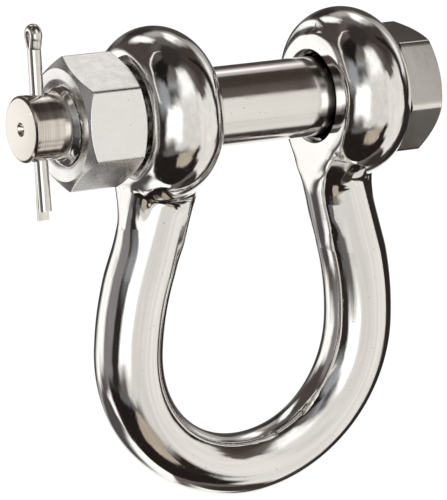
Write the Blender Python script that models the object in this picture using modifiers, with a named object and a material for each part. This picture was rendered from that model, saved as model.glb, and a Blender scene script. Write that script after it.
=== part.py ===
"""Bow (anchor) shackle of 19 mm bar with a 22 mm bolt, hex nut and split pin.

Frame: +X runs along the bolt from its threaded end to its head, the bow hangs towards -Z in the XZ plane,
and the origin is on the bolt's axis midway between the two eyes. Every length is in metres.
"""
import math

import bpy
import bmesh
from mathutils import Matrix, Vector

# ---------------------------------------------------------------- driving dimensions
GAP = 0.0003                    # between faces that touch on the real object

JAW = 0.0385                    # clear width between the two eyes
EYE_THICK = 0.0215              # along the bolt
EYE_D = 0.0478                  # outside diameter of an eye
EYE_FLAT_R = 0.0174             # radius of the flat face on each side of an eye
EYE_HOLE_D = 0.0236
EYE_HOLE_CHAMFER = 0.0009

BAR_R_LEG = 0.0087              # bar radius at the shoulders, at the sides and at the crown
BAR_R_SIDE = 0.0095
BAR_R_CROWN = 0.0087
CROWN_R = 0.0373                # centreline radius of the crown
CROWN_CENTRE_Z = -0.0660
SIDE_R = 0.080                  # centreline radius where the sides draw in
LEG_LEAN = math.radians(16.0)   # lean of the straight legs
LEG_TOP_Z = -0.0170             # centreline end, inside the eye
SHOULDER_Z = -0.0228            # the round bar stops here with a square shoulder

NECK_HALF_Y = 0.0064            # neck that joins the eye to the bar
NECK_HALF_X = 0.0094
NECK_MIDS = (-0.0307, 0.0285)   # the forging's necks stand slightly towards the nut
NECK_TOP_Z = -0.0125
NECK_END_Z = -0.0325
NECK_EDGE = 0.0042

BOLT_D = 0.022
THREAD_D = 0.0203               # plain cylinder that stands for the M22 thread
BORE_D = THREAD_D + 2 * GAP     # plain bore that stands for the nut's thread
TIP_D = 0.018                   # turned down below the thread
TIP_END_X = -0.0719
TIP_START_X = -0.0606
THREAD_END_X = -0.0370
TIP_CHAMFER = 0.0007
CENTRE_HOLE_R = 0.0019
CENTRE_HOLE_DEPTH = 0.0042

HEX_AF = 0.032                  # across flats, nut and head
HEX_FACE_R = 0.0152             # radius of the chamfer circle on a hex face
NUT_THICK = 0.018
NUT_GAP = 0.0011                # nut to eye: run down but not tight
NUT_COUNTERSINK_R = 0.0122
HEAD_THICK = 0.0115
NUT_CORNER = math.radians(80.9)     # first hex corner, from +Y towards +Z
HEAD_CORNER = math.radians(66.0)

PIN_WIRE_R = 0.00180            # half-round wire of the 4 x 45 split pin
PIN_HOLE_D = 0.0046
PIN_X = -0.0663
PIN_TILT = math.radians(9.2)    # the pin leans from +Z towards +Y
PIN_SLIT = 0.00008              # half of the gap between the two legs
PIN_NECK = 0.0212               # from the bolt's axis to where the loop starts
PIN_LOOP_R = 0.0013             # inside radius of the loop
PIN_LEG_SHORT = -0.0224
PIN_LEG_LONG = -0.0249
PIN_SPLAY = 0.00038             # how far each leg end stands away from the middle

ROUND = 72                      # facets round a turned part
EYE_MID = JAW / 2 + EYE_THICK / 2
TRIM = 0.0004                   # forging left over each flat face before it is cut
JAW_FLAT_END_Z = -0.0345
OUTER_FLAT_END_Z = -0.0315


# ---------------------------------------------------------------- helpers
def collection(name):
    made = bpy.data.collections.new(name)
    bpy.context.scene.collection.children.link(made)
    return made


def metal(name, colour, roughness):
    made = bpy.data.materials.new(name)
    made.use_nodes = True
    shader = made.node_tree.nodes["Principled BSDF"]
    shader.inputs["Base Color"].default_value = (*colour, 1.0)
    shader.inputs["Metallic"].default_value = 1.0
    shader.inputs["Roughness"].default_value = roughness
    return made


def add(name, data, into):
    obj = bpy.data.objects.new(name, data)
    into.objects.link(obj)
    return obj


def baked(obj, name, into, merge=0.0):
    """The object as it shows, with its modifiers and its place applied, as a plain mesh."""
    bpy.context.view_layer.update()
    depsgraph = bpy.context.evaluated_depsgraph_get()
    mesh = bpy.data.meshes.new_from_object(obj.evaluated_get(depsgraph))
    mesh.transform(obj.matrix_world)
    work = bmesh.new()
    work.from_mesh(mesh)
    if merge:
        bmesh.ops.remove_doubles(work, verts=work.verts, dist=merge)
    bmesh.ops.recalc_face_normals(work, faces=work.faces)
    work.to_mesh(mesh)
    work.free()
    made = add(name, mesh, into)
    bpy.data.objects.remove(obj)
    return made


def turned(name, profile, into, facets=ROUND):
    """A solid turned about the X axis. profile lists (x, radius) from one end on the axis to the other."""
    mesh = bpy.data.meshes.new(name)
    mesh.from_pydata([(radius, 0.0, x) for x, radius in profile],
                     [(i, i + 1) for i in range(len(profile) - 1)], [])
    obj = add(name + "_profile", mesh, into)
    obj.rotation_euler = (0.0, math.pi / 2, 0.0)
    screw = obj.modifiers.new("Screw", "SCREW")
    screw.steps = screw.render_steps = facets
    screw.use_merge_vertices = True
    screw.merge_threshold = 0.00001
    return baked(obj, name, into)


def block(name, low, high, into, edge=0.0, segments=4):
    mesh = bpy.data.meshes.new(name)
    work = bmesh.new()
    size = Vector(high) - Vector(low)
    bmesh.ops.create_cube(work, size=1.0, matrix=Matrix.Diagonal((*size, 1.0)))
    work.to_mesh(mesh)
    work.free()
    obj = add(name + "_block", mesh, into)
    obj.location = (Vector(high) + Vector(low)) / 2
    if edge:
        bevel = obj.modifiers.new("Bevel", "BEVEL")
        bevel.width = edge
        bevel.segments = segments
    return baked(obj, name, into)


def combine(target, other, operation):
    boolean = target.modifiers.new("Boolean", "BOOLEAN")
    boolean.operation = operation
    boolean.solver = "EXACT"
    boolean.object = other
    bpy.context.view_layer.update()
    depsgraph = bpy.context.evaluated_depsgraph_get()
    mesh = bpy.data.meshes.new_from_object(target.evaluated_get(depsgraph))
    target.modifiers.clear()
    target.data = mesh
    return target


def tidy(obj, merge=0.000004):
    work = bmesh.new()
    work.from_mesh(obj.data)
    bmesh.ops.remove_doubles(work, verts=work.verts, dist=merge)
    bmesh.ops.dissolve_degenerate(work, edges=work.edges, dist=0.000002)
    bmesh.ops.triangulate(work, faces=[f for f in work.faces if len(f.verts) > 4])
    bmesh.ops.recalc_face_normals(work, faces=work.faces)
    work.to_mesh(obj.data)
    work.free()


def finish(obj, material, origin=(0.0, 0.0, 0.0), axis_turn=0.0):
    """Gives the part its material, and puts its origin on its joint axis."""
    tidy(obj)
    obj.data.materials.clear()
    obj.data.materials.append(material)
    place = Matrix.Translation(Vector(origin)) @ Matrix.Rotation(axis_turn, 4, "X")
    obj.data.transform(place.inverted())
    obj.matrix_world = place
    for face in obj.data.polygons:
        face.material_index = 0


# ---------------------------------------------------------------- the bow
def centreline():
    """Points (x, z, radius) down the +X leg, round the crown and up the -X leg."""
    half = []
    for i in range(25):                                   # crown, from the bottom out to the side
        angle = -math.pi / 2 + math.pi / 2 * i / 24
        share = i / 24
        radius = BAR_R_CROWN + (BAR_R_SIDE - BAR_R_CROWN) * max(0.0, (share - 0.35) / 0.65) ** 1.5
        half.append((CROWN_R * math.cos(angle), CROWN_CENTRE_Z + CROWN_R * math.sin(angle), radius))
    for i in range(1, 9):                                 # side, drawing in to the lean of the leg
        angle = LEG_LEAN * i / 8
        half.append((CROWN_R - SIDE_R * (1 - math.cos(angle)),
                     CROWN_CENTRE_Z + SIDE_R * math.sin(angle), BAR_R_SIDE))
    x_start, z_start, _ = half[-1]
    for i in range(1, 9):                                 # straight leg
        z = z_start + (LEG_TOP_Z - z_start) * i / 8
        radius = BAR_R_SIDE + (BAR_R_LEG - BAR_R_SIDE) * i / 8
        half.append((x_start - (z - z_start) * math.tan(LEG_LEAN), z, radius))
    return half[::-1] + [(-x, z, radius) for x, z, radius in half[1:]]


def make_bar(into):
    points = centreline()
    curve = bpy.data.curves.new("bar_centreline", "CURVE")
    curve.dimensions = "3D"
    curve.bevel_depth = BAR_R_SIDE
    curve.bevel_resolution = 7
    curve.use_fill_caps = True
    spline = curve.splines.new("POLY")
    spline.points.add(len(points) - 1)
    for point, (x, z, radius) in zip(spline.points, points):
        point.co = (x, 0.0, z, 1.0)
        point.radius = radius / BAR_R_SIDE
    return baked(add("bar_curve", curve, into), "bow", into, merge=0.00001)


def eye_profile(low, high):
    """Barrel-rimmed disc, left TRIM too long on each side for the flat faces to be cut."""
    middle, half = (low + high) / 2, (high - low) / 2
    rim, drop = EYE_D / 2, EYE_D / 2 - EYE_FLAT_R
    points = [(low - TRIM, 0.0), (low - TRIM, EYE_FLAT_R - TRIM)]
    for i in range(11):
        angle = math.pi * i / 10
        points.append((middle - math.cos(angle) * half, rim - drop + drop * math.sin(angle)))
    return points + [(high + TRIM, EYE_FLAT_R - TRIM), (high + TRIM, 0.0)]


def make_bow(into, cutters, steel):
    bow = make_bar(cutters)
    combine(bow, block("above_shoulder", (-0.08, -0.03, SHOULDER_Z), (0.08, 0.03, 0.03), cutters), "DIFFERENCE")
    spans = [(-EYE_MID - EYE_THICK / 2, -EYE_MID + EYE_THICK / 2), (EYE_MID - EYE_THICK / 2, EYE_MID + EYE_THICK / 2)]
    for low, high in spans:
        middle = NECK_MIDS[0] if low < 0 else NECK_MIDS[1]
        neck = block("neck", (middle - NECK_HALF_X, -NECK_HALF_Y, NECK_END_Z),
                     (middle + NECK_HALF_X, NECK_HALF_Y, NECK_TOP_Z), cutters, NECK_EDGE, 4)
        combine(bow, neck, "UNION")
        combine(bow, turned("eye", eye_profile(low, high), cutters, 56), "UNION")
    faces = [(-JAW / 2, JAW / 2, JAW_FLAT_END_Z), (-0.08, spans[0][0], OUTER_FLAT_END_Z),
             (spans[1][1], 0.08, OUTER_FLAT_END_Z)]
    for low, high, bottom in faces:
        combine(bow, block("flat_cut", (low, -0.04, bottom), (high, 0.04, 0.04), cutters), "DIFFERENCE")
    for low, high in spans:
        mouth, hole = EYE_HOLE_D / 2 + EYE_HOLE_CHAMFER, EYE_HOLE_D / 2
        drill = turned("drill", [(low - 0.002, 0.0), (low - 0.002, mouth + 0.002), (low, mouth),
                                 (low + EYE_HOLE_CHAMFER, hole), (high - EYE_HOLE_CHAMFER, hole),
                                 (high, mouth), (high + 0.002, mouth + 0.002), (high + 0.002, 0.0)],
                       cutters)
        combine(bow, drill, "DIFFERENCE")
    into.objects.link(bow)
    cutters.objects.unlink(bow)
    finish(bow, steel)
    return bow


# ---------------------------------------------------------------- hexagons, bolt and nut
def hexagon(name, near, far, corner, chamfered, into):
    """Hex prism along X. chamfered lists which of its two ends carry the 30 degree chamfer."""
    radius = HEX_AF / math.sqrt(3)
    drop = (radius - HEX_FACE_R) * math.tan(math.radians(30))
    profile = [(near, 0.0)]
    profile += [(near, HEX_FACE_R), (near + drop, radius)] if chamfered[0] else [(near, radius)]
    profile += [(far - drop, radius), (far, HEX_FACE_R)] if chamfered[1] else [(far, radius)]
    profile += [(far, 0.0)]
    round_stock = turned(name + "_stock", [(x, r * 1.0004 if r > HEX_FACE_R else r) for x, r in profile],
                         into, 144)
    mesh = bpy.data.meshes.new(name)
    work = bmesh.new()
    bmesh.ops.create_cone(work, cap_ends=True, segments=6, radius1=radius, radius2=radius,
                          depth=far - near + 0.002)
    work.to_mesh(mesh)
    work.free()
    prism = add(name + "_prism", mesh, into)
    prism.matrix_world = (Matrix.Translation(((near + far) / 2, 0.0, 0.0)) @ Matrix.Rotation(corner, 4, "X")
                          @ Matrix.Rotation(math.pi / 2, 4, "Z") @ Matrix.Rotation(math.pi / 2, 4, "X"))
    prism = baked(prism, name, into)
    return combine(prism, round_stock, "INTERSECT")


def make_bolt(into, cutters, steel):
    head_near = JAW / 2 + EYE_THICK + GAP
    head_far = head_near + HEAD_THICK
    bolt = hexagon("bolt", head_near, head_far, HEAD_CORNER, (False, True), cutters)
    tip, thread, body = TIP_D / 2, THREAD_D / 2, BOLT_D / 2
    shank = turned("shank", [
        (TIP_END_X + CENTRE_HOLE_DEPTH, 0.0), (TIP_END_X + 0.0012, CENTRE_HOLE_R * 0.55),
        (TIP_END_X, CENTRE_HOLE_R), (TIP_END_X, tip - TIP_CHAMFER), (TIP_END_X + TIP_CHAMFER, tip),
        (TIP_START_X, tip), (TIP_START_X + 0.0012, thread), (THREAD_END_X, thread),
        (THREAD_END_X + 0.0007, body), (head_near + 0.004, body), (head_near + 0.004, 0.0)], cutters)
    combine(bolt, shank, "UNION")
    drill = turned("cross_drill", [(-0.02, 0.0), (-0.02, PIN_HOLE_D / 2), (0.02, PIN_HOLE_D / 2), (0.02, 0.0)],
                   cutters, 32)
    drill.matrix_world = (Matrix.Translation((PIN_X, 0.0, 0.0)) @ Matrix.Rotation(-PIN_TILT, 4, "X")
                          @ Matrix.Rotation(math.pi / 2, 4, "Y"))
    combine(bolt, drill, "DIFFERENCE")
    into.objects.link(bolt)
    cutters.objects.unlink(bolt)
    finish(bolt, steel)
    return bolt


def make_nut(into, cutters, steel):
    far = -(JAW / 2 + EYE_THICK) - NUT_GAP
    near = far - NUT_THICK
    nut = hexagon("nut", near, far, NUT_CORNER, (True, True), cutters)
    sink = NUT_COUNTERSINK_R - BORE_D / 2
    bore = turned("nut_bore", [
        (near - 0.001, 0.0), (near - 0.001, NUT_COUNTERSINK_R + 0.001), (near, NUT_COUNTERSINK_R),
        (near + sink * 0.6, BORE_D / 2), (far - sink * 0.6, BORE_D / 2), (far, NUT_COUNTERSINK_R),
        (far + 0.001, NUT_COUNTERSINK_R + 0.001), (far + 0.001, 0.0)], cutters)
    combine(nut, bore, "DIFFERENCE")
    into.objects.link(nut)
    cutters.objects.unlink(nut)
    finish(nut, steel, origin=((near + far) / 2, 0.0, 0.0))
    return nut


# ---------------------------------------------------------------- split pin
def pin_path():
    """Centre of the wire's flat side, as (across, up): down the short leg, round the loop, down the long leg."""
    start = -TIP_D / 2
    half = []
    for i in range(9):                                    # loop, from its top down one side
        angle = math.pi / 2 - math.radians(128) * i / 8
        half.append((PIN_LOOP_R * math.cos(angle), PIN_LOOP_R * math.sin(angle)))
    centre = PIN_NECK + 0.0034
    half = [(across, up + centre) for across, up in half]
    half += [(0.00050, PIN_NECK + 0.0008), (PIN_SLIT * 1.6, PIN_NECK), (PIN_SLIT, PIN_NECK - 0.0012),
             (PIN_SLIT, start)]
    short = half + [(PIN_SPLAY * 0.5, (start + PIN_LEG_SHORT) / 2), (PIN_SPLAY, PIN_LEG_SHORT)]
    long = half + [(PIN_SPLAY * 0.5, (start + PIN_LEG_SHORT) / 2), (PIN_SPLAY * 1.15, PIN_LEG_LONG)]
    return [(-across, up) for across, up in short[::-1]] + long[1:]


def make_split_pin(into, cutters, steel):
    section = bpy.data.curves.new("wire_section", "CURVE")
    section.dimensions = "2D"
    outline = section.splines.new("POLY")
    arc = [math.pi * (1 + i / 12) for i in range(13)]     # round side away from the other leg
    outline.points.add(len(arc) - 1)
    for point, angle in zip(outline.points, arc):
        point.co = (PIN_WIRE_R * math.sin(angle), PIN_WIRE_R * math.cos(angle), 0.0, 1.0)
    outline.use_cyclic_u = True
    wire_section = add("wire_section", section, cutters)
    curve = bpy.data.curves.new("wire", "CURVE")
    curve.dimensions = "3D"
    curve.twist_mode = "Z_UP"
    curve.bevel_mode = "OBJECT"
    curve.bevel_object = wire_section
    curve.use_fill_caps = True
    path = pin_path()
    spline = curve.splines.new("POLY")
    spline.points.add(len(path) - 1)
    for point, (across, up) in zip(spline.points, path):
        point.co = (across, up, 0.0, 1.0)
    wire = add("wire", curve, cutters)
    wire.matrix_world = (Matrix.Translation((PIN_X, 0.0, 0.0)) @ Matrix.Rotation(-PIN_TILT, 4, "X")
                         @ Matrix(((0, 0, 1, 0), (1, 0, 0, 0), (0, 1, 0, 0), (0, 0, 0, 1))))
    pin = baked(wire, "split_pin", cutters, merge=0.000001)
    into.objects.link(pin)
    cutters.objects.unlink(pin)
    finish(pin, steel, origin=(PIN_X, 0.0, 0.0), axis_turn=-PIN_TILT)
    return pin


def main():
    for obj in list(bpy.data.objects):
        bpy.data.objects.remove(obj)
    parts = collection("bow_shackle")
    cutters = collection("cutters")
    bow = make_bow(parts, cutters, metal("polished_bow_steel", (0.80, 0.79, 0.77), 0.08))
    bolt = make_bolt(parts, cutters, metal("polished_bolt_steel", (0.76, 0.75, 0.73), 0.12))
    nut = make_nut(parts, cutters, metal("satin_nut_steel", (0.72, 0.71, 0.69), 0.22))
    pin = make_split_pin(parts, cutters, metal("split_pin_steel", (0.70, 0.68, 0.64), 0.25))
    for child, parent in ((bolt, bow), (nut, bow), (pin, bolt)):
        place = child.matrix_world.copy()
        child.parent = parent
        child.matrix_world = place
    for obj in cutters.objects:
        obj.hide_render = True
        obj.display_type = "WIRE"


main()
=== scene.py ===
"""Looks of the bow shackle: polished bow, bolt with a real thread, nut and split pin. Lengths are in
millimetres until a mesh is made, and the frame is the CAD's: +X along the bolt to its head, the bow hanging
towards -Z."""
import math

import bpy
import numpy as np
from mathutils import Matrix, Vector


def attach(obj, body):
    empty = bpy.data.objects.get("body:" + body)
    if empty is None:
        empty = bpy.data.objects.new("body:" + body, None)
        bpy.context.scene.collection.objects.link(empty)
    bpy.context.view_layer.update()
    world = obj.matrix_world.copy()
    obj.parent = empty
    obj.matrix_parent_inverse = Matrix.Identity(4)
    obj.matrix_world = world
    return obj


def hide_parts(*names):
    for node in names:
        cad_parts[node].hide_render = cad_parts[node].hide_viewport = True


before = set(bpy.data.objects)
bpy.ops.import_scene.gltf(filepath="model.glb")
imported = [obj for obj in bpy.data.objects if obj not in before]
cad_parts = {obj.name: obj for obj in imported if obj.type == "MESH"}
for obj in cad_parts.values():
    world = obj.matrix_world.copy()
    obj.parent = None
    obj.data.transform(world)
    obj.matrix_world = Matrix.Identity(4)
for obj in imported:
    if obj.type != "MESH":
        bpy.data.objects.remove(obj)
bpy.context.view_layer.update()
MM = 0.001

# ---------------------------------------------------------------- sizes, the CAD's or more finely drawn
JAW, EYE_THICK, EYE_R, HOLE_R, HOLE_CHAMFER = 38.5, 21.5, 23.9, 11.8, 1.3
EYE_MID = JAW / 2 + EYE_THICK / 2
EYE_RIM_R = 12.4                       # crown of the eye's rim, seen in section
FORGED_EDGE = 0.9                      # how much the forging's edges are rounded
CROWN_R, CROWN_Z, SIDE_R, LEAN = 37.3, -66.0, 80.0, math.radians(16.0)
BAR_LEG, BAR_SIDE, BAR_CROWN = 8.7, 9.5, 8.7   # the round bar's radius at three places
SHOULDER_Z, NECK_END_Z = -22.8, -31.5
NECK_MID_NUT, NECK_MID_HEAD = 30.7, 28.5   # the forging's necks stand slightly towards the nut
NECK_HALF_X, NECK_HALF_Y, NECK_CORNER_R = 9.4, 4.6, 4.4
BOLT_R, TIP_R, PITCH = 11.0, 9.0, 2.5
TIP_END, TIP_START, THREAD_END = -71.9, -60.6, -37.0
TIP_CHAMFER_R, TIP_CHAMFER_X, CENTRE_HOLE_R = 0.75, 0.55, 1.85
THREAD_CREST_R, THREAD_DEPTH, THREAD_CLEARANCE, THREAD_STEP = 10.9, 1.38, 0.12, 0.16
HEX_FLATS = 32.0
HEX_R, HEX_FACE_R, NUT_THICK, NUT_GAP, HEAD_THICK = HEX_FLATS / math.sqrt(3), 15.2, 18.0, 1.1, 11.5
NUT_CORNER, HEAD_CORNER, HEX_CHAMFER = math.radians(80.9), math.radians(66.0), math.radians(30.0)
PIN_X, PIN_TILT, WIRE_R, PIN_HOLE_R, PIN_MOUTH_R = -66.3, math.radians(9.2), 1.8, 2.3, 3.3
SHARP = 28.0                           # degrees between two faces above which their edge stays sharp


# ---------------------------------------------------------------- smooth solid of the bow
def smax(a, b, k):
    """The larger of two fields, with the edge between them rounded over k."""
    h = np.maximum(k - np.abs(a - b), 0.0) / k
    return np.maximum(a, b) + h * h * k / 4


def smin(a, b, k):
    """The smaller of two fields, with the corner between them filled over k."""
    return -smax(-a, -b, k)


def bar_field(x, y, z):
    """Distance to the round bar; x is already the distance from the middle plane."""
    side_x = CROWN_R - SIDE_R
    turn = np.arctan2(z - CROWN_Z, x - side_x)
    crown = np.hypot(x, z - CROWN_Z) - CROWN_R
    side = np.hypot(x - side_x, z - CROWN_Z) - SIDE_R
    top_x, top_z = side_x + SIDE_R * math.cos(LEAN), CROWN_Z + SIDE_R * math.sin(LEAN)
    leg = (x - top_x) * math.cos(LEAN) + (z - top_z) * math.sin(LEAN)
    across = np.where(z < CROWN_Z, crown, np.where(turn < LEAN, side, leg))
    quarter = (np.arctan2(z - CROWN_Z, x) + math.pi / 2) / (math.pi / 2)
    share = np.clip((quarter - 0.2) / 0.8, 0.0, 1.0)   # the crown's bar thickens towards the sides
    radius = BAR_CROWN + (BAR_SIDE - BAR_CROWN) * share * share * (3 - 2 * share)
    radius = radius + (BAR_LEG - BAR_SIDE) * np.clip((z - top_z) / (SHOULDER_Z - top_z), 0.0, 1.0)
    return np.hypot(across, y) - radius


def rim_field(u, rho, y, z):
    """The eye's round rim, with a hollow beside its flat boss, only round the back of the eye."""
    rim = np.hypot(u, np.maximum(rho - (EYE_R - EYE_RIM_R), 0.0)) - EYE_RIM_R
    hollow_r = 2.2 - 4.0 * np.clip((3.0 - y) / 18.0, 0.0, 1.0) - 3.0 * np.clip((-z - 2.0) / 10.0, 0.0, 1.0)
    return smax(rim, hollow_r - np.hypot(u + 10.5, rho - 19.8), 1.6)


def neck_field(neck_u, x, y, z):
    """The neck under an eye: a rounded rectangle, wider in Y upwards and drawn in on its inner side."""
    half_y = NECK_HALF_Y + 0.30 * np.clip(z + 30.0, 0.0, 15.0)
    qx, qy = np.abs(neck_u) - (NECK_HALF_X - NECK_CORNER_R), np.abs(y) - (half_y - NECK_CORNER_R)
    corner = np.hypot(np.maximum(qx, 0.0), np.maximum(qy, 0.0))
    neck = corner + np.minimum(np.maximum(qx, qy), 0.0) - NECK_CORNER_R
    draw_in = JAW / 2 + 0.33 * np.maximum(-17.0 - z, 0.0) - x
    neck = smax(smax(neck, draw_in, 3.0), z + 8.0, 1.0)
    return smax(neck, 0.5 * (NECK_END_Z - z) - 1.3, 2.5)


def body_field(x, y, z):
    """The forging without its holes. Where its forms meet, the inner side is filled more than the rest."""
    neck_u = np.where(x < 0, -x - NECK_MID_NUT, x - NECK_MID_HEAD)
    x = np.abs(x)
    u, rho = x - EYE_MID, np.hypot(y, z)
    bar = smax(bar_field(x, y, z), z - SHOULDER_Z, FORGED_EDGE)
    inner_side = np.clip((3.0 - u) / 9.0, 0.0, 1.0)
    outer_side = np.clip((u - 5.0) / 3.0, 0.0, 1.0)
    under_eye = np.clip((-z - 8.0) / 8.0, 0.0, 1.0)
    whole = smin(bar, neck_field(neck_u, x, y, z), 0.9 + 4.0 * inner_side + 2.0 * outer_side)
    whole = smin(whole, rim_field(u, rho, y, z), 1.1 + 4.5 * inner_side * under_eye)
    outer = (u - EYE_THICK / 2) - np.maximum(NECK_END_Z + 1.0 - z, 0.0)
    inner = JAW / 2 - x - np.maximum(NECK_END_Z - 4.0 - z, 0.0)
    return smax(smax(whole, outer, FORGED_EDGE), inner, FORGED_EDGE)


def bore_field(x, y, z):
    """The bolt holes through both eyes."""
    return HOLE_R - np.hypot(y, z)


def mouth_field(x, y, z):
    """The 45 degree chamfers at the holes' mouths."""
    u = np.abs(np.abs(x) - EYE_MID)
    return (HOLE_R + HOLE_CHAMFER - (EYE_THICK / 2 - u) - np.hypot(y, z)) / math.sqrt(2)


BOW_FIELDS = (body_field, bore_field, mouth_field)


def gradient(field, p, step=0.02):
    """Slope of the field at each point, by central differences."""
    out = np.empty_like(p)
    for axis in range(3):
        shift = np.zeros(3)
        shift[axis] = step
        out[:, axis] = (field(*(p + shift).T) - field(*(p - shift).T)) / (2 * step)
    return out


def neighbours(edge, others):
    """The four cells round each grid edge, in order round it."""
    for da, db in ((0, 0), (1, 0), (1, 1), (0, 1)):
        cell = edge.copy()
        cell[:, others[0]] -= da
        cell[:, others[1]] -= db
        yield tuple(cell.T)


def surface_quads(value):
    """Surface nets: a point, in cell units, for each cell that the surface crosses, and a quad for each grid
    edge that it crosses."""
    inside = value < 0
    cells = np.array(value.shape) - 1
    total = np.zeros((*cells, 3), dtype=np.float32)
    count = np.zeros(cells, dtype=np.float32)
    crossings = []
    for axis in range(3):
        first, second = [slice(None)] * 3, [slice(None)] * 3
        first[axis], second[axis] = slice(0, -1), slice(1, None)
        first, second = tuple(first), tuple(second)
        edge = np.argwhere(inside[first] != inside[second])
        va, vb = value[first][tuple(edge.T)], value[second][tuple(edge.T)]
        point = edge.astype(np.float32)
        point[:, axis] += va / (va - vb)
        others = [k for k in range(3) if k != axis]
        for cell in neighbours(edge, others):
            np.add.at(total, cell, point)
            np.add.at(count, cell, 1.0)
        crossings.append((axis, others, edge, va < 0))
    active = count > 0
    index = np.full(cells, -1)
    index[active] = np.arange(active.sum())
    faces = []
    for axis, others, edge, leaving in crossings:
        quad = np.stack([index[cell] for cell in neighbours(edge, others)], axis=1)
        flip = leaving if axis != 1 else ~leaving
        quad[~flip] = quad[~flip][:, ::-1]
        faces.append(quad)
    return total[active] / count[active][:, None], np.concatenate(faces)


def settle(p, fields, step, rounds=4):
    """Moves the points onto the surface, and those near an edge between two fields onto that edge."""
    rows = np.arange(len(p))
    for _ in range(rounds):
        values = np.stack([f(*p.T) for f in fields])
        order = np.argsort(-values, axis=0)
        best, next_best = order[0], order[1]
        v1, v2 = values[best, rows], values[next_best, rows]
        close = (v1 - v2) < 0.75 * step
        slopes = np.stack([gradient(f, p) for f in fields])
        g1, g2 = slopes[best, rows], slopes[next_best, rows]
        move = -g1 * (v1 / (g1 * g1).sum(1))[:, None]
        a11, a12, a22 = (g1 * g1).sum(1), (g1 * g2).sum(1), (g2 * g2).sum(1)
        det = a11 * a22 - a12 * a12
        close &= det > 0.05
        det = np.where(close, det, 1.0)
        k1, k2 = (a22 * v1 - a12 * v2) / det, (a11 * v2 - a12 * v1) / det
        both = -(g1 * k1[:, None] + g2 * k2[:, None])
        p += np.clip(np.where(close[:, None], both, move), -step, step)
    return p


def corner_normals(corners, owner, fields):
    """Every face corner's normal, from the field that owns the face."""
    normals = np.zeros(corners.shape)
    for k, field in enumerate(fields):
        mine = owner == k
        normals[mine] = gradient(field, corners[mine].reshape(-1, 3)).reshape(-1, 4, 3)
    return normals / np.maximum(np.linalg.norm(normals, axis=2, keepdims=True), 1e-9)


def solid_mesh(name, fields, low, high, step):
    """Meshes where the largest of the fields is zero. Every corner gets its own field's normal, so edges stay
    crisp and the rest exactly smooth. Faces of the holes and their mouths get the second material."""
    axes = [np.arange(a, b + step, step) for a, b in zip(low, high)]
    value = np.empty([len(a) for a in axes], dtype=np.float32)
    for i, x in enumerate(axes[0]):
        grid = np.meshgrid([x], axes[1], axes[2], indexing="ij")
        value[i] = np.max([f(*grid) for f in fields], axis=0)[0]
    cell_points, faces = surface_quads(value)
    p = settle(cell_points.astype(float) * step + np.array([a[0] for a in axes]), fields, step)
    corners = p[faces]
    middle = corners.mean(axis=1)
    owner = np.argmax(np.stack([f(*middle.T) for f in fields]), axis=0)
    normals = corner_normals(corners, owner, fields)
    across = np.cross(corners[:, 2] - corners[:, 0], corners[:, 3] - corners[:, 1])
    wrong = (across * normals.sum(axis=1)).sum(axis=1) < 0
    if wrong.mean() > 0.5:
        faces, normals = faces[:, ::-1], normals[:, ::-1]
    obj = new_mesh(name, p * MM, faces.tolist())
    drilled = (owner > 0) | (np.hypot(middle[:, 1], middle[:, 2]) < HOLE_R + HOLE_CHAMFER + 0.15)
    obj.data.polygons.foreach_set("material_index", drilled.astype(np.int32))
    obj.data.normals_split_custom_set(normals.reshape(-1, 3).tolist())
    return obj


def link(name, data):
    """A new object with this data, in the scene."""
    obj = bpy.data.objects.new(name, data)
    bpy.context.scene.collection.objects.link(obj)
    return obj


def new_mesh(name, verts, faces, sharp=None):
    """A smooth-shaded object from vertices in metres, with edges over the given angle kept sharp."""
    mesh = bpy.data.meshes.new(name)
    mesh.from_pydata(verts.tolist(), [], faces)
    mesh.update()
    mesh.polygons.foreach_set("use_smooth", np.ones(len(faces), dtype=bool))
    if sharp:
        mesh.set_sharp_from_angle(angle=math.radians(sharp))
    return link(name, mesh)


# ---------------------------------------------------------------- turned and hexagonal parts
COLUMNS = 240


def column_angles(corner):
    """Angles round the bolt, closer together at the hexagon's corners; a corner lies on a column."""
    local = np.linspace(-1, 1, COLUMNS // 6, endpoint=False)
    local = np.sign(local) * (1 - (1 - np.abs(local)) ** 1.7) * math.pi / 6
    return np.concatenate([corner - math.pi / 6 + k * math.pi / 3 + local for k in range(6)])


def ring_points(rings, angles):
    """Points of rings round the bolt's axis. Each ring is (x, radius), scalars or one number a column."""
    points = []
    for x, r in rings:
        x, r = np.broadcast_to(x, len(angles)), np.broadcast_to(r, len(angles))
        points.append(np.stack([x, r * np.cos(angles), r * np.sin(angles)], axis=1))
    return points


def ring_quads(rings, count, closed=False):
    """Quads between each ring of count points and the next, and from the last to the first where closed."""
    here = np.arange(count)
    after = (here + 1) % count
    faces = []
    for i in range(rings if closed else rings - 1):
        a, b = i * count, (i + 1) % rings * count
        faces.append(np.stack([a + here, a + after, b + after, b + here], axis=1))
    return np.concatenate(faces).tolist()


def rings_mesh(name, rings, angles):
    """A closed solid from rings along X, with a cap at each end."""
    count = len(angles)
    first, last = float(np.mean(rings[0][0])), float(np.mean(rings[-1][0]))
    verts = np.concatenate(ring_points(rings, angles) + [[(first, 0, 0)], [(last, 0, 0)]]) * MM
    end = len(rings) * count
    base = end - count
    around = [(k, (k + 1) % count) for k in range(count)]
    caps = [(end, b, a) for a, b in around] + [(end + 1, base + a, base + b) for a, b in around]
    return new_mesh(name, verts, ring_quads(len(rings), count) + caps, SHARP)


def tube_mesh(name, rings, angles):
    """A closed ring of rings, for a part with a hole through it."""
    verts = np.concatenate(ring_points(rings, angles)) * MM
    return new_mesh(name, verts, ring_quads(len(rings), len(angles), closed=True), SHARP)


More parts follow.
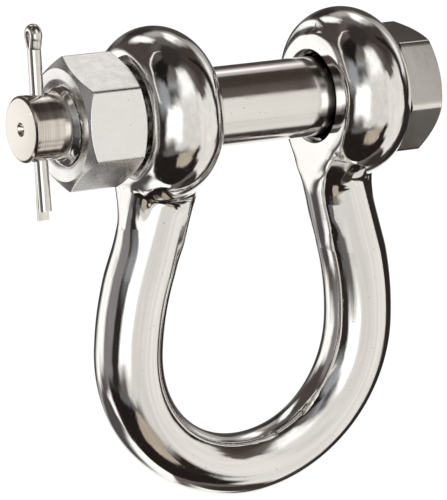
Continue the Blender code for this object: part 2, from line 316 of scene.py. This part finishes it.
def hex_radius(angles, corner, sharpness=70.0):
    """Radius of a hexagon with slightly rounded corners."""
    total = np.zeros_like(angles)
    for k in range(6):
        reach = np.cos(angles - corner - math.pi / 6 - k * math.pi / 3)
        total += np.where(reach > 0.05, reach / (HEX_FLATS / 2), 0.0) ** sharpness
    return total ** (-1 / sharpness)


def hex_rings(near, far, angles, corner, near_chamfer, far_chamfer):
    """Rings from the near face to the far face of a hexagon, chamfered where asked."""
    flat = hex_radius(angles, corner)
    slope = math.tan(HEX_CHAMFER)
    drop = (HEX_R - HEX_FACE_R) * slope
    fine = np.linspace(0.0, drop * 1.25, 26)
    xs = np.unique(np.concatenate([near + fine, far - fine, [near, far]]))
    rings = []
    for x in xs:
        limit = np.full_like(flat, 1e3)
        if near_chamfer:
            limit = np.minimum(limit, HEX_FACE_R + (x - near) / slope)
        if far_chamfer:
            limit = np.minimum(limit, HEX_FACE_R + (far - x) / slope)
        rings.append((x, smin(flat, limit, 0.22)))
    return rings


def thread_radius(x, angles, allowance=0.0):
    """Right-hand M22 x 2.5 thread: flat crests, 60 degree flanks and a rounded root."""
    crest, flank, rounding = 0.14, 0.66, 0.14   # shares of half a turn, and of the straight flank
    turn = np.mod((x - PITCH * angles / (2 * math.pi)) / PITCH, 1.0)
    reach = np.abs(turn - 0.5) * 2
    ramp = np.clip((reach - crest) / flank, 0.0, 1.0)
    ramp = ramp * (1 - rounding) + rounding * ramp * ramp * (3 - 2 * ramp)
    return THREAD_CREST_R - THREAD_DEPTH * ramp + allowance


def thread_rings(start, end, angles):
    """Rings of the bolt's thread, with a chamfered lead-in at its start and a run-out at its end."""
    rings = []
    for x in np.arange(start, end, THREAD_STEP):
        lead_in = 9.3 + (x - start) * 1.1
        run_out = 9.5 + (x - (end - 2.0)) * 0.85
        body = np.minimum(thread_radius(x, angles), lead_in)
        if x > end - 2.0:
            body = np.maximum(body, np.minimum(run_out, THREAD_CREST_R))
        rings.append((x, body))
    return rings


def round_edge(x0, r0, x1, r1, x2, r2, size, steps=4):
    """Replaces the corner (x1, r1) between two straight runs by a small curve."""
    a, b, c = np.array((x0, r0)), np.array((x1, r1)), np.array((x2, r2))
    p = b + (a - b) / np.linalg.norm(a - b) * size
    q = b + (c - b) / np.linalg.norm(c - b) * size
    out = []
    for t in np.linspace(0, 1, steps + 1):
        point = (1 - t) ** 2 * p + 2 * t * (1 - t) * b + t ** 2 * q
        out.append((float(point[0]), float(point[1])))
    return out


def rounded(profile, size):
    """The profile with each corner softened by the same small curve."""
    out = [profile[0]]
    for a, b, c in zip(profile, profile[1:], profile[2:]):
        out += round_edge(*a, *b, *c, size)
    return out + [profile[-1]]


def make_bolt():
    """Head, plain body and thread; the head's faces get the second material."""
    angles = column_angles(HEAD_CORNER)
    near = JAW / 2 + EYE_THICK + 0.3
    far = near + HEAD_THICK
    rings = [(TIP_START - 0.8, 0.5), (TIP_START - 0.8, 8.6)]
    rings += thread_rings(TIP_START - 0.5, THREAD_END, angles)
    rings += [(THREAD_END, BOLT_R - 0.1), (THREAD_END + 0.3, BOLT_R)]
    rings += [(x, BOLT_R) for x in np.linspace(THREAD_END + 2, near - 1.0, 14)]
    rings += [(near - 0.5, BOLT_R + 0.08), (near - 0.15, BOLT_R + 0.35), (near, BOLT_R + 0.9)]
    rings += hex_rings(near, far, angles, HEAD_CORNER, False, True)
    rings += [(far, HEX_FACE_R - 0.25), (far, 12.0), (far, 6.0), (far, 0.4)]
    bolt = rings_mesh("bolt_body", rings, angles)
    for face in bolt.data.polygons:
        face.material_index = int(face.center.x > (near - 1.0) * MM)
    return bolt


def make_drill():
    """The cutter for the split pin's hole, with wider mouths."""
    mouth, lip, beyond = TIP_R - 0.95, TIP_R + 0.2, 20.0
    half = [(7.0, PIN_HOLE_R), (mouth, PIN_HOLE_R), (lip, PIN_MOUTH_R), (beyond, PIN_MOUTH_R), (beyond, 0.01)]
    profile = [(-x, r) for x, r in half[::-1]] + [(x, PIN_HOLE_R) for x in (-3.5, 0.0, 3.5)] + half
    drill = rings_mesh("drill", profile, np.linspace(0, 2 * math.pi, 64, endpoint=False))
    drill.matrix_world = (Matrix.Translation((PIN_X * MM, 0, 0)) @ Matrix.Rotation(-PIN_TILT, 4, "X")
                          @ Matrix.Rotation(-math.pi / 2, 4, "Y"))
    return drill


def make_tip():
    """The turned tip with its centre-drill hole and the pin's hole; its end face gets the second material."""
    profile = [(TIP_END + 4.4, 0.02), (TIP_END + 2.0, 0.62), (TIP_END + 1.9, 0.95), (TIP_END, CENTRE_HOLE_R),
               (TIP_END, TIP_R - TIP_CHAMFER_R), (TIP_END + TIP_CHAMFER_X, TIP_R), (TIP_START + 0.2, TIP_R),
               (TIP_START + 0.4, 0.5)]
    smooth = rounded(profile, 0.13)
    # extra rings, set in by a hair, keep the end face's long quads from shading unevenly
    rim = next(i for i, (x, r) in enumerate(smooth) if r > 4)
    smooth[rim:rim] = [(TIP_END + 0.008, r) for r in (3.0, 4.0, 5.0, 6.0, 7.0, 7.9)]
    barrel = []
    for (x0, r0), (x1, _) in zip(smooth, smooth[1:]):
        barrel.append((x0, r0))
        if x1 - x0 > 3:
            barrel += [(x, TIP_R) for x in np.linspace(x0, x1, 12)[1:-1]]
    barrel.append(smooth[-1])
    tip = rings_mesh("bolt_tip", barrel, np.linspace(0, 2 * math.pi, COLUMNS, endpoint=False))
    cut(tip, make_drill())
    tip.data.set_sharp_from_angle(angle=math.radians(SHARP))
    for face in tip.data.polygons:
        face.material_index = int(face.normal.x < -0.999 and face.center.x < TIP_START * MM)
        face.use_smooth = face.material_index == 0
    return tip


def cut(target, tool):
    """Takes the tool away from the target, and removes the tool."""
    boolean = target.modifiers.new("Boolean", "BOOLEAN")
    boolean.operation, boolean.solver, boolean.object = "DIFFERENCE", "EXACT", tool
    bpy.context.view_layer.update()
    mesh = bpy.data.meshes.new_from_object(target.evaluated_get(bpy.context.evaluated_depsgraph_get()))
    target.modifiers.clear()
    target.data = mesh
    bpy.data.objects.remove(tool)


def make_nut():
    """The threaded nut; its end faces and chamfers get the second material."""
    angles = column_angles(NUT_CORNER)
    far = -(JAW / 2 + EYE_THICK) - NUT_GAP
    near = far - NUT_THICK
    outside = hex_rings(near, far, angles, NUT_CORNER, True, True)
    near_face = [(near, HEX_FACE_R - 0.25), (near, 12.6), (near + 0.12, 12.2)]
    far_face = [(far, HEX_FACE_R - 0.25), (far, 12.6), (far - 0.12, 12.2)]
    inner = []
    for x in np.arange(near + 0.5, far - 0.5, THREAD_STEP):
        countersink = 12.0 - min(x - near, far - x) * 1.45
        inner.append((x, np.maximum(thread_radius(x, angles, THREAD_CLEARANCE), countersink)))
    nut = tube_mesh("nut_body", outside + far_face + inner[::-1] + near_face[::-1], angles)
    for face in nut.data.polygons:
        face.material_index = int(abs(face.normal.x) > 0.25)
    return nut


# ---------------------------------------------------------------- split pin
def smooth_path(points, per_span=10):
    """Catmull-Rom curve through the points."""
    p = np.array([points[0]] + list(points) + [points[-1]], dtype=float)
    out = []
    for i in range(1, len(p) - 2):
        for t in np.linspace(0, 1, per_span, endpoint=False):
            a, b, c, d = p[i - 1], p[i], p[i + 1], p[i + 2]
            out.append(0.5 * (2 * b + (c - a) * t + (2 * a - 5 * b + 4 * c - d) * t * t
                              + (3 * b - a - 3 * c + d) * t ** 3))
    return np.array(out + [p[-1]])


def half_round(edge=0.16):
    """Section of the wire as (outward, along the bolt): a half disc with its two sharp edges eased."""
    arc = np.radians(np.linspace(-90, 90, 25)[2:-2])
    easing = [(0.0, WIRE_R - edge * 1.6), (edge * 0.3, WIRE_R - edge * 0.4)]
    return np.array([(n, -b) for n, b in easing] + [(WIRE_R * math.cos(a), WIRE_R * math.sin(a)) for a in arc]
                    + easing[::-1])


def make_split_pin():
    """Half-round wire bent double: a loop, a short leg and a long leg, flat sides together."""
    loop_r, neck, slit = 1.3, 21.2, 0.08
    half = [(loop_r * math.cos(a), neck + 3.4 + loop_r * math.sin(a))
            for a in np.radians(np.linspace(90, -38, 9))]
    half += [(0.5, neck + 0.8), (0.13, neck), (slit, neck - 1.2)]
    half += [(slit, u) for u in (15.0, 9.0, 0.0, -9.0)]
    short = half + [(0.22, -16.0), (0.44, -22.4)]
    long = short + [(0.49, -24.9)]
    path = smooth_path([(-across, u) for across, u in short[::-1]] + long[1:])
    tangent = np.gradient(path, axis=0)
    tangent /= np.linalg.norm(tangent, axis=1)[:, None]
    section = half_round()
    rings = []
    for (across, u), (t_across, t_u) in zip(path, tangent):
        outward, along = section.T
        rings.append(np.stack([along, across - outward * t_u, u + outward * t_across], axis=1))
    count = len(section)
    faces = ring_quads(len(rings), count)
    faces += [list(range(count))[::-1], list(range((len(rings) - 1) * count, len(rings) * count))]
    pin = new_mesh("split_pin_wire", np.concatenate(rings) * MM, faces, 40.0)
    pin.data.transform(Matrix.Translation((PIN_X * MM, 0, 0)) @ Matrix.Rotation(-PIN_TILT, 4, "X"))
    return pin


# ---------------------------------------------------------------- materials
BRIGHT_EDGE, WORN_EDGE = (0.95, 0.94, 0.92, 1.0), (0.97, 0.96, 0.95, 1.0)
# the last colour is painted shade, for the dark band on the bolt beside the eyes' holes
SPECK, PIT, PAINTED_SHADE_BAND = (0.20, 0.18, 0.16, 1.0), (0.26, 0.24, 0.22, 1.0), (0.10, 0.085, 0.075, 1.0)


class Shader:
    """A steel material whose colour, roughness and bump are built up from noise in the part's own frame."""

    def __init__(self, name, roughness):
        self.material = bpy.data.materials.new(name)
        self.material.use_nodes = True
        self.nodes, self.links = self.material.node_tree.nodes, self.material.node_tree.links
        self.steel = self.nodes["Principled BSDF"]
        self.steel.inputs["Metallic"].default_value = 1.0
        self.steel.inputs["Roughness"].default_value = roughness
        self.place = self.nodes.new("ShaderNodeTexCoord").outputs["Object"]
        self.bump = None

    def wire(self, value, socket):
        """Links a socket's value, or sets a number or colour."""
        if hasattr(value, "is_linked"):
            self.links.new(value, socket)
        else:
            socket.default_value = value

    def math(self, operation, a, b=0.0):
        """Both values through one sum."""
        node = self.nodes.new("ShaderNodeMath")
        node.operation = operation
        self.wire(a, node.inputs[0])
        self.wire(b, node.inputs[1])
        return node.outputs[0]

    def stretched(self, scale=(1.0, 1.0, 1.0), turn=(0.0, 0.0, 0.0)):
        """The part's own coordinates, turned and squeezed."""
        node = self.nodes.new("ShaderNodeMapping")
        node.inputs["Scale"].default_value = scale
        node.inputs["Rotation"].default_value = turn
        self.links.new(self.place, node.inputs["Vector"])
        return node.outputs[0]

    def noise(self, grain_mm, detail=3.0, place=None, distortion=0.0):
        """Noise from 0 to 1 with grains of about the given size."""
        node = self.nodes.new("ShaderNodeTexNoise")
        node.inputs["Scale"].default_value = 1000.0 / grain_mm
        node.inputs["Detail"].default_value = detail
        node.inputs["Distortion"].default_value = distortion
        self.links.new(place or self.place, node.inputs["Vector"])
        return node.outputs["Fac"]

    def ramp(self, value, low, high, start=0.0, end=1.0):
        """Start below low, end above high, and a smooth step between."""
        node = self.nodes.new("ShaderNodeMapRange")
        node.interpolation_type = "SMOOTHSTEP"
        self.links.new(value, node.inputs["Value"])
        for socket, number in zip(("From Min", "From Max", "To Min", "To Max"), (low, high, start, end)):
            node.inputs[socket].default_value = number
        return node.outputs["Result"]

    def edge(self, low=0.515, high=0.56):
        """One along convex edges and zero elsewhere."""
        return self.ramp(self.nodes.new("ShaderNodeNewGeometry").outputs["Pointiness"], low, high)

    def painted_shade_ring(self, at_mm, half_mm):
        """Painted shade: one round the bolt at two places along it, where it enters the eyes, as far on each
        side, thinning out unevenly.
        """
        split = self.nodes.new("ShaderNodeSeparateXYZ")
        self.links.new(self.place, split.inputs[0])
        along = self.math("SUBTRACT", self.math("ABSOLUTE", split.outputs["X"]), at_mm * MM)
        away = self.math("ADD", self.math("ABSOLUTE", along), self.math("MULTIPLY", self.noise(3.0, 3.0), MM))
        return self.ramp(away, 0.45 * half_mm * MM, 1.25 * half_mm * MM, 0.92, 0.0)

    def blend(self, amount, a, b):
        """Colour a where the amount is 0 and b where it is 1."""
        node = self.nodes.new("ShaderNodeMix")
        node.data_type = "RGBA"
        self.wire(amount, node.inputs["Factor"])
        self.wire(a, node.inputs["A"])
        self.wire(b, node.inputs["B"])
        return node.outputs["Result"]

    def raise_by(self, height, depth_mm):
        """Adds a bump of the given height in millimetres on top of those already there."""
        node = self.nodes.new("ShaderNodeBump")
        node.inputs["Strength"].default_value = 1.0
        node.inputs["Distance"].default_value = depth_mm * MM
        self.links.new(height, node.inputs["Height"])
        if self.bump:
            self.links.new(self.bump, node.inputs["Normal"])
        self.bump = node.outputs["Normal"]

    def finish(self, colour, roughness):
        """Wires up the steel and gives the material."""
        self.links.new(colour, self.steel.inputs["Base Color"])
        self.links.new(roughness, self.steel.inputs["Roughness"])
        self.links.new(self.bump, self.steel.inputs["Normal"])
        return self.material


def scratches(look, width_mm, length_mm, turn, keep):
    """Fine straight scratches in one direction; keep is how far above the middle the noise has to reach."""
    lines = look.noise(width_mm, 1.0, look.stretched((1.0, 1.0, width_mm / length_mm), turn))
    return look.ramp(lines, 0.5 + keep, 0.5 + keep + 0.05)


def polished(name, tint, shade, wave_mm, base, spread, shade_ring_at=None):
    """Buffed stainless steel: slow waves, orange peel, hairline scratches, smears, specks, worn edges and,
    for the bolt, painted shade in a dark band where it enters the eyes."""
    look = Shader(name, base)
    smear = look.ramp(look.noise(9.0, 5.0, look.stretched((1.0, 1.0, 0.4)), 0.8), 0.40, 0.70)
    hair = look.math("MAXIMUM", scratches(look, 0.7, 14.0, (0.5, 0.3, 0.2), 0.22),
                     scratches(look, 0.6, 9.0, (-0.7, 0.9, 0.1), 0.23))
    speck = look.ramp(look.noise(0.75, 0.0), 0.80, 0.87)
    look.raise_by(look.noise(15.0, 1.0), wave_mm)
    look.raise_by(look.noise(4.5, 2.0, None, 0.5), wave_mm * 0.16)
    look.raise_by(look.noise(1.1, 2.0), wave_mm * 0.016)
    grain = look.math("MULTIPLY", look.noise(0.45, 1.0), look.ramp(look.noise(7.0, 2.0), 0.52, 0.72))
    look.raise_by(grain, 0.006)
    look.raise_by(hair, -0.003)
    look.raise_by(speck, -0.004)
    edge = look.edge()
    colour = look.blend(look.noise(22.0, 3.0), tint, shade)
    colour = look.blend(look.math("MULTIPLY", speck, 0.35), colour, SPECK)
    colour = look.blend(look.math("MULTIPLY", edge, 0.5), colour, BRIGHT_EDGE)
    # painted shade: a dark band round the bolt where it enters the eyes
    if shade_ring_at:
        colour = look.blend(look.painted_shade_ring(shade_ring_at, 1.9), colour, PAINTED_SHADE_BAND)
    roughness = look.math("ADD", look.math("MULTIPLY", smear, spread), base)
    roughness = look.math("ADD", roughness, look.math("MULTIPLY", hair, 0.12))
    roughness = look.math("ADD", roughness, look.math("MULTIPLY", edge, 0.05))
    return look.finish(colour, roughness)


def bore_with_painted_shade(name):
    """The drilled holes: dull steel with drill marks round the bolt's axis, its colour painted near black as
    painted shade inside the holes.
    """
    look = Shader(name, 0.5)
    mottle = look.noise(2.5, 5.0)
    rings = look.noise(0.5, 1.0, look.stretched((1.0, 0.02, 0.02)))
    look.raise_by(rings, 0.02)
    look.raise_by(look.noise(0.6, 3.0), 0.01)
    # the colour is painted shade: near black, in mottled patches, for the shade inside the holes
    colour = look.blend(look.ramp(mottle, 0.4, 0.7), (0.055, 0.045, 0.040, 1.0), (0.16, 0.14, 0.125, 1.0))
    return look.finish(colour, look.ramp(mottle, 0.3, 0.7, 0.34, 0.55))


def ground(name, tint, shade, roughness, grain_mm, worn=1.0):
    """Satin steel: a fine even grain, faint longer marks, pits and brighter worn edges."""
    look = Shader(name, roughness)
    grain = look.noise(grain_mm, 3.0)
    marks = scratches(look, 0.5, 6.0, (0.2, 1.3, 0.4), 0.17)
    pit = look.ramp(look.noise(1.3, 1.0), 0.76, 0.80)
    look.raise_by(look.noise(12.0, 1.0), 0.012)
    look.raise_by(grain, 0.0035)
    look.raise_by(look.math("ADD", marks, pit), -0.006)
    edge = look.math("MULTIPLY", look.edge(), worn)
    colour = look.blend(look.noise(5.0, 5.0), tint, shade)
    colour = look.blend(look.math("MULTIPLY", look.ramp(grain, 0.35, 0.6), 0.25), colour, shade)
    colour = look.blend(look.math("MULTIPLY", pit, 0.45), colour, PIT)
    colour = look.blend(look.math("MULTIPLY", edge, 0.6), colour, WORN_EDGE)
    rough = look.ramp(look.noise(3.0, 4.0), 0.3, 0.7, roughness * 0.92, roughness * 1.10)
    return look.finish(colour, look.math("SUBTRACT", rough, look.math("MULTIPLY", edge, roughness * 0.4)))


def turned_steel(name, tint, shade, roughness):
    """Lathe-turned steel: fine rings round the bolt's axis, uneven along it."""
    look = Shader(name, roughness)
    rings = look.noise(0.42, 2.0, look.stretched((1.0, 0.01, 0.01)))
    broad = look.noise(2.2, 2.0, look.stretched((1.0, 0.05, 0.05)))
    look.raise_by(rings, 0.005)
    look.raise_by(look.noise(9.0, 2.0), 0.06)
    look.raise_by(look.noise(0.9, 3.0), 0.002)
    tone = look.math("ADD", look.math("MULTIPLY", rings, 0.5), broad)
    colour = look.blend(look.ramp(tone, 0.5, 1.0), shade, tint)
    colour = look.blend(look.math("MULTIPLY", look.edge(), 0.6), colour, BRIGHT_EDGE)
    return look.finish(colour, look.ramp(broad, 0.3, 0.7, roughness * 0.75, roughness * 1.2))


mirror = polished("mirror_polished_steel", (0.91, 0.895, 0.875, 1.0), (0.84, 0.82, 0.795, 1.0), 0.085, 0.03,
                  0.08)
# the bolt's steel carries painted shade beside the eyes' holes
bolt_mirror = polished("polished_bolt_steel", (0.89, 0.865, 0.835, 1.0), (0.80, 0.77, 0.735, 1.0), 0.02, 0.10,
                       0.07, shade_ring_at=JAW / 2 - 0.1)
bore = bore_with_painted_shade("drilled_bore_painted_shade")
# the head's steel is painted darker than the bolt's, with deep dark blotches: painted shade for the dark
# reflections on the head
head_with_painted_shade = polished("polished_head_painted_shade", (0.84, 0.82, 0.80, 1.0), (0.46, 0.435, 0.41, 1.0), 0.30, 0.05,
                       0.08)
satin = ground("satin_nut_steel", (0.95, 0.945, 0.93, 1.0), (0.88, 0.87, 0.85, 1.0), 0.27, 0.5)
faced = ground("faced_nut_steel", (0.88, 0.865, 0.845, 1.0), (0.80, 0.785, 0.76, 1.0), 0.17, 0.5)
turned = turned_steel("turned_tip_steel", (0.86, 0.815, 0.76, 1.0), (0.60, 0.545, 0.49, 1.0), 0.14)
end_face = ground("tip_end_steel", (0.96, 0.95, 0.94, 1.0), (0.88, 0.87, 0.86, 1.0), 0.30, 0.4, worn=0.0)
drawn = ground("drawn_wire_steel", (0.88, 0.86, 0.82, 1.0), (0.72, 0.69, 0.65, 1.0), 0.16, 0.4)

bow = solid_mesh("bow_forging", BOW_FIELDS, (-48.2, -24.6, -113.0), (48.2, 24.6, 24.6), 0.5)
bolt = make_bolt()
tip = make_tip()
nut = make_nut()
pin = make_split_pin()
for obj, body, node, slot, looks in (
        (bow, "bow", "bow", "polished_bow_steel", (mirror, bore)),
        (bolt, "bolt", "bolt", "polished_bolt_steel", (bolt_mirror, head_with_painted_shade)),
        (tip, "bolt", "bolt", "polished_bolt_steel", (turned, end_face)),
        (nut, "nut", "nut", "satin_nut_steel", (satin, faced)),
        (pin, "split_pin", "split_pin", "split_pin_steel", (drawn,))):
    obj.data.materials.clear()
    for look in looks:
        obj.data.materials.append(look)
    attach(obj, body)
    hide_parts(node)

# ---------------------------------------------------------------- camera, floor and light
AZIMUTH, ELEVATION, ROLL = math.radians(-31.93), math.radians(15.30), math.radians(1.554)
DISTANCE, AIM_RIGHT, AIM_UP, SPAN = 1180.5, -7.580, -40.168, 136.543   # the span is across the long side
SENSOR = 36.0
back = Vector((math.sin(AZIMUTH) * math.cos(ELEVATION), -math.cos(AZIMUTH) * math.cos(ELEVATION),
               math.sin(ELEVATION)))
level = Vector((math.cos(AZIMUTH), math.sin(AZIMUTH), 0.0))
right = math.cos(ROLL) * level + math.sin(ROLL) * back.cross(level)
up = back.cross(right)
camera = link("camera", bpy.data.cameras.new("camera"))
camera.data.sensor_fit = "AUTO"
camera.data.sensor_width = SENSOR
camera.data.lens = SENSOR * DISTANCE / SPAN
camera.matrix_world = (Matrix.Translation((back * DISTANCE + right * AIM_RIGHT + up * AIM_UP) * MM)
                       @ Matrix((right, up, back)).transposed().to_4x4())
camera.data.clip_start, camera.data.clip_end = 0.05, 100.0
bpy.context.scene.camera = camera

# What reflections see between the panels, and the light that everything else sees.
BETWEEN_PANELS, PLAIN_LIGHT = (0.15, 0.135, 0.125, 1.0), (1.2, 1.2, 1.2, 1.0)

# The studio as soft-edged panels on the sky round the object. Each has its middle, as an azimuth from the
# front (-Y) towards +X and a height over the horizon, its half width and half height, how its rows climb and
# its sides lean, and how soft its edge is, all in degrees but for the two slopes; then its light. Later
# panels cover earlier ones.
PANELS = (
    ("back_wall", 135, 28, 40, 24, 0, 0, 12, (0.45, 0.43, 0.41)),
    ("back_shade", 146, 14, 17, 17, 0.2, 0.2, 12, (0.075, 0.064, 0.060)),
    ("back_lamp", 132, 48, 16, 9, -0.1, 0, 10, (1.3, 1.28, 1.25)),
    ("back_strip", 112, 30, 7, 24, 0, 0.6, 8, (0.95, 0.93, 0.91)),
    ("far_flag", 172, 23, 17, 12, 0.3, 0, 11, (0.035, 0.030, 0.028)),
    ("back_floor", 158, -32, 33, 30, 0.35, 0.2, 11, (1.05, 1.05, 1.04)),
    ("floor_seam", 121, -53, 14, 7, 0, 0, 10, (0.075, 0.064, 0.058)),
    ("floor_right", 88, -62, 26, 15, 0, 0, 12, (0.040, 0.033, 0.030)),
    ("floor_left", -140, -76, 60, 18, 0, 0, 14, (1.15, 1.14, 1.13)),
    ("left_wall", -138, 38, 42, 25, 0, 0, 18, (0.075, 0.062, 0.057)),
    ("left_low", -140, -42, 45, 15, 0, 0, 16, (0.085, 0.078, 0.080)),
    ("left_white", -174, 44, 9, 13, 0, 0, 9, (1.2, 1.2, 1.18)),
    ("left_line", 178, -8, 16, 17, 0, 0, 12, (0.055, 0.048, 0.045)),
    ("left_pale", -152, -9, 11, 18, 0, 0, 10, (1.12, 1.11, 1.09)),
    ("left_window", -132, -5, 14, 15, -0.05, 0, 11, (1.15, 1.15, 1.13)),
    ("left_cloth", -100, -2, 20, 30, 0, 0, 20, (0.25, 0.235, 0.24)),
    ("left_floor", -105, -48, 12, 13, 0, -0.9, 9, (1.25, 1.24, 1.25)),
    ("left_dark", -74, -10, 13, 24, 0, 0, 8, (0.030, 0.025, 0.023)),
    ("cool_wall", -52, 28, 26, 22, 0, 0, 20, (0.36, 0.375, 0.395)),
    ("stand", -38, 31, 13, 7, 0, 0, 16, (0.08, 0.074, 0.070)),
    ("tent", -2, -2, 34, 32, 0, 0, 14, (0.76, 0.74, 0.71)),
    ("tent_top", 4, 48, 25, 20, 0, 0, 18, (1.15, 1.145, 1.13)),
    ("left_flag", -78, 60, 24, 22, 0, 0, 12, (0.014, 0.011, 0.010)),
    ("left_edge", -108, 45, 3, 29, 0, -1.15, 4, (1.0, 0.96, 0.90)),
    ("right_panel", 54, -13, 27, 42, -0.02, -0.12, 7, (0.87, 0.85, 0.815)),
    ("right_shade", 47, 29, 10, 9, 0, 0, 8, (0.12, 0.105, 0.095)),
    ("top_flag", 86, 53, 37, 23, 0, 0, 24, (0.060, 0.048, 0.042)),
    ("right_flag", 86, 18, 5, 40, 0, 0.05, 6, (0.018, 0.014, 0.012)),
    ("side_gap", 105, -25, 19, 23, -0.1, -0.3, 10, (0.028, 0.023, 0.022)),
    ("ceiling", 0, 90, 190, 21, 0, 0, 16, (0.040, 0.034, 0.031)),
    ("softbox", -41, -2, 18, 19, 0.06, 0, 15, (1.7, 1.7, 1.68)),
    ("front_table", -30, -68, 74, 31, -0.10, 0, 9, (0.018, 0.014, 0.013)),
    ("table_edge", -35, -35, 33, 3, 0.02, 0, 7, (0.14, 0.14, 0.145)),
    ("wood", -7, -46, 21, 10, 0.10, 0.2, 6, (0.50, 0.43, 0.34)),
    ("front_gap", 23, -43, 6, 13, 0, 0.55, 6, (0.025, 0.018, 0.016)),
)


def studio_world():
    """The panels as a sky for reflections only; everything else sees plain white."""
    made = bpy.data.worlds.new("studio")
    made.cycles.sampling_method = "NONE"
    made.use_nodes = True
    nodes, links = made.node_tree.nodes, made.node_tree.links
    nodes.clear()

    def node(kind, socket_values, output=0, **settings):
        """A new node with its sockets linked or set; gives one of its outputs."""
        new = nodes.new(kind)
        for key, value in settings.items():
            setattr(new, key, value)
        for socket, value in socket_values.items():
            if hasattr(value, "is_linked"):
                links.new(value, new.inputs[socket])
            else:
                new.inputs[socket].default_value = value
        return new.outputs[output]

    def parts(vector):
        """The vector's three numbers."""
        split = nodes.new("ShaderNodeSeparateXYZ")
        links.new(vector, split.inputs[0])
        return split.outputs

    def calc(operation, *values):
        """One sum on sockets or numbers."""
        return node("ShaderNodeMath", dict(enumerate(values)), operation=operation)

    def band(angle, half, soft):
        """One while the angle is within half either way, with a soft edge."""
        low, high = math.radians(half - soft / 2), math.radians(half + soft / 2)
        return node("ShaderNodeMapRange", {0: calc("ABSOLUTE", angle), 1: low, 2: high, 3: 1.0, 4: 0.0},
                    interpolation_type="SMOOTHSTEP")

    sky = nodes.new("ShaderNodeTexCoord").outputs["Generated"]
    x, y, z = parts(sky)
    azimuth = calc("ARCTAN2", x, calc("MULTIPLY", y, -1.0))
    height = calc("ARCSINE", z)
    # the panels hang unevenly, so none of their edges is straight
    sway = node("ShaderNodeTexNoise", {"Vector": sky, "Scale": 3.2, "Detail": 3.0}, output=1)
    sway_azimuth, sway_height, _ = parts(sway)
    azimuth = calc("ADD", azimuth, calc("MULTIPLY", calc("SUBTRACT", sway_azimuth, 0.5), 0.34))
    height = calc("ADD", height, calc("MULTIPLY", calc("SUBTRACT", sway_height, 0.5), 0.30))
    colour = BETWEEN_PANELS
    for _, middle, rise, half_width, half_height, climb, lean, soft, light in PANELS:
        across = calc("WRAP", calc("SUBTRACT", azimuth, math.radians(middle)), math.pi, -math.pi)
        above = calc("SUBTRACT", height, math.radians(rise))
        upright = calc("SUBTRACT", above, calc("MULTIPLY", across, climb))
        sideways = calc("SUBTRACT", across, calc("MULTIPLY", above, lean))
        mask = calc("MULTIPLY", band(sideways, half_width, soft), band(upright, half_height, soft))
        colour = node("ShaderNodeMix", {0: mask, 6: colour, 7: (*light, 1.0)}, output=2, data_type="RGBA")
    # their cloth has soft folds
    folds = node("ShaderNodeTexNoise", {"Vector": sky, "Scale": 4.0, "Detail": 2.0, "Distortion": 0.6})
    shading = node("ShaderNodeMapRange", {0: folds, 1: 0.3, 2: 0.7, 3: 0.90, 4: 1.08})
    colour = node("ShaderNodeMix", {0: 1.0, 6: colour, 7: shading}, output=2, data_type="RGBA",
                  blend_type="MULTIPLY")
    glossy = nodes.new("ShaderNodeLightPath").outputs["Is Glossy Ray"]
    colour = node("ShaderNodeMix", {0: glossy, 6: PLAIN_LIGHT, 7: colour}, output=2, data_type="RGBA")
    background = nodes.new("ShaderNodeBackground")
    links.new(colour, background.inputs["Color"])
    links.new(background.outputs[0], nodes.new("ShaderNodeOutputWorld").inputs["Surface"])
    return made


bpy.context.scene.world = studio_world()
bpy.context.scene.view_settings.view_transform = "Standard"

FLOOR_HALF, FLOOR_Z = 6.0, -0.30       # in metres
signs = ((-1, -1), (1, -1), (1, 1), (-1, 1))
corners = np.array([(x * FLOOR_HALF, y * FLOOR_HALF, FLOOR_Z) for x, y in signs])
floor = new_mesh("floor", corners, [(0, 1, 2, 3)])
floor_look = bpy.data.materials.new("pale_floor")
floor_look.use_nodes = True
paint = floor_look.node_tree.nodes["Principled BSDF"]
paint.inputs["Base Color"].default_value = (0.9, 0.9, 0.9, 1)
paint.inputs["Roughness"].default_value = 0.9
floor.data.materials.append(floor_look)
floor.visible_glossy = False
